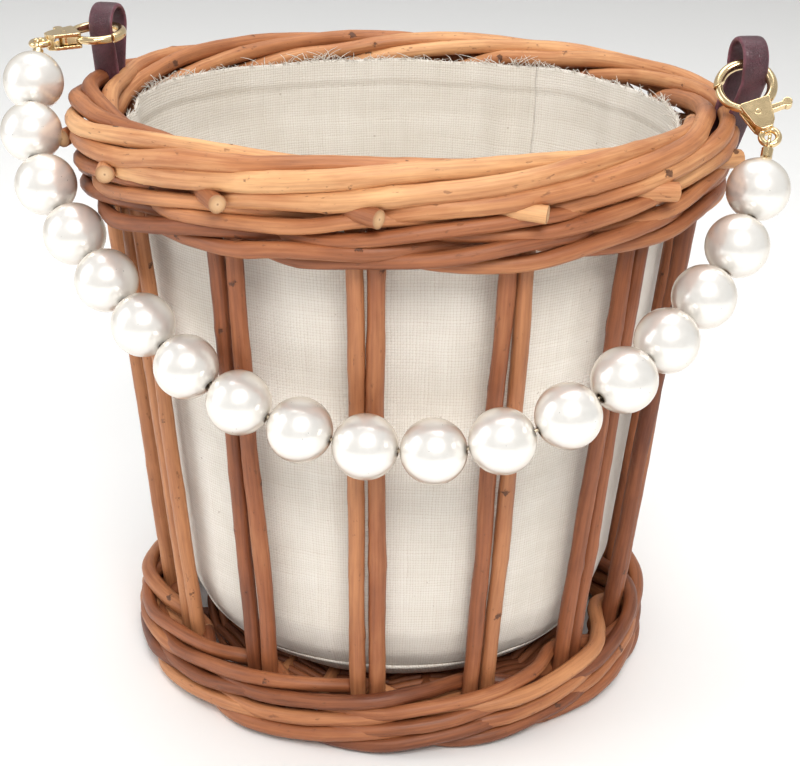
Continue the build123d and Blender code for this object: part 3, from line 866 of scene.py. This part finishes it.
def make_fray():
    """Loose threads standing out of the raw top edge, with a few longer ones in tufts."""
    rng = dice("fray")
    paths, radii = [], []
    for _ in range(1500):
        angle = rng.uniform(0, 360)
        tuft = 1.0 + 1.3 * max(0, math.sin(math.radians(angle * 7 + 40))) ** 8
        root, _ = side_panel_point(np.array([angle]), np.array([0.996]))
        root = root[0] + ring_point(angle, rng.uniform(-0.3, 0.3) * MM, 0.0)
        out, along = ring_point(angle, 1.0, 0.0), ring_point(angle + 90, 1.0, 0.0)
        length = min(rng.gamma(3.0, 0.42) * tuft, 4.5) * MM
        lean, slide = rng.normal(-0.12, 0.35), rng.normal(0, 0.6)
        curl = rng.normal(0, 0.5, 2)
        t = np.linspace(0, 1, 5)[:, None]
        up = np.array((0, 0, 1.0)) * (t - 0.25 * t ** 2)
        sway = out * (lean * t + curl[0] * t ** 2 * 0.6) + along * (slide * t + curl[1] * t ** 2)
        paths.append(root + length * (up + sway))
        radii.append(rng.uniform(0.06, 0.12) * MM)
    return dress(thin_tubes("liner_fray", paths, radii, 4), LINEN_THREAD, "basket", "linen")


def make_stitches():
    """Running stitches that hold the turned hem, seen inside and outside."""
    paths, radii = [], []
    top = LINER_HIGH.z - LINER_LOW.z
    count = 132
    for k in range(count):
        middle = 360 * k / count
        for face in (-1, 1):
            angle = middle + np.linspace(-0.75, 0.75, 5) + (0 if face < 0 else 1.36)
            share = np.full(5, 1 - (HEM + 0.2 * MM) / top)
            points, _ = side_panel_point(angle, share)
            lift = face * (CLOTH_T / 2 + 0.1 * MM * np.sin(np.linspace(0, math.pi, 5)))
            paths.append(points + ring_point(angle, lift, 0.0))
            radii.append(0.13 * MM)
    return dress(thin_tubes("liner_stitches", paths, radii, 5), LINEN_THREAD, "basket", "linen")


side_panel = make_side_panel()
base_panel = make_base_panel()
fray = make_fray()
stitches = make_stitches()


# ---------------------------------------------------------------- leather loops
STRAP_W, STRAP_T = 6.0 * MM, 1.4 * MM


def strap_section(half_width, half_thick):
    """Outline of the strip: flat faces, rounded edges."""
    t = np.arange(20) * TURN / 20
    power = 0.42
    across = half_width * np.sign(np.cos(t)) * np.abs(np.cos(t)) ** power
    through = half_thick * np.sign(np.sin(t)) * np.abs(np.sin(t)) ** 0.75
    return across, through


def make_loop(side, turn_top, turn_foot):
    """A leather strip folded over into a loop, drawn in a little at the border and slightly twisted."""
    low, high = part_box(f"leather_loop_{side}")
    half_width, thick = STRAP_W / 2, STRAP_T
    foot_x, fold_x = low.x + half_width, high.x - half_width
    bight = (high.y - low.y) / 2 - thick / 2
    pivot = high.z - bight - thick / 2
    foot = low.z - 1.5 * MM
    legs = ((foot, 3.3), (foot + 7 * MM, 3.35), (foot + 13 * MM, 3.9), (pivot - 2.5 * MM, 4.55))
    front = [(-y * MM, z) for z, y in legs]
    fold = [(-bight * math.cos(a), pivot + bight * math.sin(a)) for a in np.linspace(0, math.pi, 9)]
    rear = [(-y, z) for y, z in reversed(front)]
    line = smooth_path([(y, z, 0) for y, z in (*front, *fold, *rear)], 6)
    slope = np.gradient(line[:, :2], axis=0)
    slope /= np.linalg.norm(slope, axis=1)[:, None]
    across, through = strap_section(half_width, thick / 2)
    rise = np.clip((line[:, 1] - foot) / (pivot - foot), 0, 1)
    twist = np.radians(turn_foot + (turn_top - turn_foot) * rise)
    middle = foot_x + (fold_x - foot_x) * np.clip(1.25 * rise, 0, 1) ** 0.9
    along = np.concatenate([[0], np.cumsum(np.linalg.norm(np.diff(line, axis=0), axis=1))])
    rows = []
    for (y, z, _), (dy, dz), w, middle_x in zip(line, slope, twist, middle):
        local_x = across
        local_y = y + through * -dz
        x = local_x * math.cos(w) - local_y * math.sin(w)
        yy = local_x * math.sin(w) + local_y * math.cos(w)
        rows.append(np.stack([middle_x + x, yy, z + through * dy], 1))
    verts = np.array(rows)
    n = len(across)
    faces = grid_faces(len(rows), n, True)
    faces.append(tuple(reversed(range(n))))
    faces.append(tuple((len(rows) - 1) * n + k for k in range(n)))
    strip = np.stack(np.broadcast_arrays(across, through, along[:, None]), -1).reshape(-1, 3)
    edge = np.tile(np.clip(np.abs(across) / half_width * 6 - 5, 0, 1), len(rows))
    obj = make_mesh(f"leather_strip_{side}", verts.reshape(-1, 3), faces, (("strip", strip), ("edge", edge)))
    return dress(obj, LEATHER, "basket", "leather", f"leather_loop_{side}")


make_loop("left", 0, 20)
make_loop("right", 22, 30)


# ---------------------------------------------------------------- clasps
def cast_copy(node, name, voxel, rounding):
    """A CAD node's shape with its edges rounded as a casting's are."""
    obj = bpy.data.objects.new(name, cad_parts[node].data.copy())
    bpy.context.scene.collection.objects.link(obj)
    remesh = obj.modifiers.new("remesh", "REMESH")
    remesh.mode = "VOXEL"
    remesh.voxel_size = voxel
    remesh.use_smooth_shade = True
    smooth = obj.modifiers.new("smooth", "SMOOTH")
    smooth.factor = 0.5
    smooth.iterations = rounding
    bpy.context.view_layer.update()
    mesh = bpy.data.meshes.new_from_object(obj.evaluated_get(bpy.context.evaluated_depsgraph_get()))
    obj.modifiers.clear()
    obj.data = mesh
    mesh.name = name
    return obj


for clasp_side in ("left", "right"):
    body = cast_copy(f"clasp_body_{clasp_side}", f"cast_clasp_{clasp_side}", 0.11 * MM, 7)
    dress(body, GOLD, "handle", "gold", f"clasp_body_{clasp_side}")
    lever = cast_copy(f"clasp_lever_{clasp_side}", f"cast_lever_{clasp_side}", 0.10 * MM, 4)
    dress(lever, GOLD, f"lever_{clasp_side}", "gold", f"clasp_lever_{clasp_side}")


def paint(node, material):
    """A CAD node keeps its shape and gets a finished material."""
    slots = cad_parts[node].material_slots
    for slot in slots:
        slot.link = "OBJECT"
        slot.material = material


for clasp_side in ("left", "right"):
    paint(f"clasp_pin_{clasp_side}", GOLD)
    paint(f"clasp_spring_{clasp_side}", SPRING)
    paint(f"end_cap_{clasp_side}", GOLD)


# ---------------------------------------------------------------- floor and light
def make_floor():
    """A pale floor that curves up far away on every side."""
    columns, rows = 64, 40
    turn = np.linspace(0, 360, columns, endpoint=False)[None, :]
    run = np.linspace(0.001, 5.0, rows)[:, None]
    rise = np.clip(run - 2.0, 0, None) ** 2 * 0.5 - 0.2 * MM
    floor = make_mesh("floor", ring_point(turn, run, rise).reshape(-1, 3), grid_faces(rows, columns, True))
    s = Shader("floor_paper")
    place = s.node("TexCoord").outputs["Object"]
    tone = s.ramp(s.noise(place, 3, 3), (0.3, (0.93, 0.93, 0.925)), (0.7, (0.95, 0.95, 0.945)))
    floor.data.materials.append(s.finish(tone, 0.6, s.bump(s.noise(place, 900, 2), 0.05 * MM, 0.2)))


def make_light(name, place, target, size, power, colour):
    data = bpy.data.lights.new(name, "AREA")
    data.shape = "RECTANGLE"
    data.size, data.size_y = size
    data.energy = power
    data.color = colour
    lamp = bpy.data.objects.new(name, data)
    bpy.context.scene.collection.objects.link(lamp)
    lamp.location = place
    lamp.rotation_euler = (Vector(target) - Vector(place)).to_track_quat("-Z", "Y").to_euler()


def make_world():
    """Soft studio surroundings: white overhead and ahead, greyer low down and behind the camera."""
    world = bpy.data.worlds.new("studio")
    world.use_nodes = True
    tree = world.node_tree
    background = tree.nodes["Background"]
    place = tree.nodes.new("ShaderNodeTexCoord")
    split = tree.nodes.new("ShaderNodeSeparateXYZ")
    tree.links.new(place.outputs["Generated"], split.inputs[0])
    ramp = tree.nodes.new("ShaderNodeValToRGB")
    tree.links.new(split.outputs[1], ramp.inputs[0])
    for element, (at, grey) in zip(ramp.color_ramp.elements, ((0.0, 0.62), (0.6, 1.0))):
        element.position = at
        element.color = (grey, grey * 0.995, grey * 0.985, 1)
    tree.links.new(ramp.outputs[0], background.inputs["Color"])
    background.inputs["Strength"].default_value = 0.80
    bpy.context.scene.world = world


make_world()
make_floor()
make_light("key", (0.30, -0.75, 0.85), (0, 0, 0.09), (0.55, 0.40), 8.2, (1.0, 0.985, 0.96))
make_light("fill", (-0.80, -0.35, 0.45), (0, 0, 0.08), (0.5, 0.7), 2.6, (0.97, 0.985, 1.0))
make_light("top", (0.0, 0.20, 1.1), (0, 0, 0.1), (0.9, 0.6), 5.0, (1.0, 1.0, 1.0))
bpy.context.scene.view_settings.view_transform = "Standard"
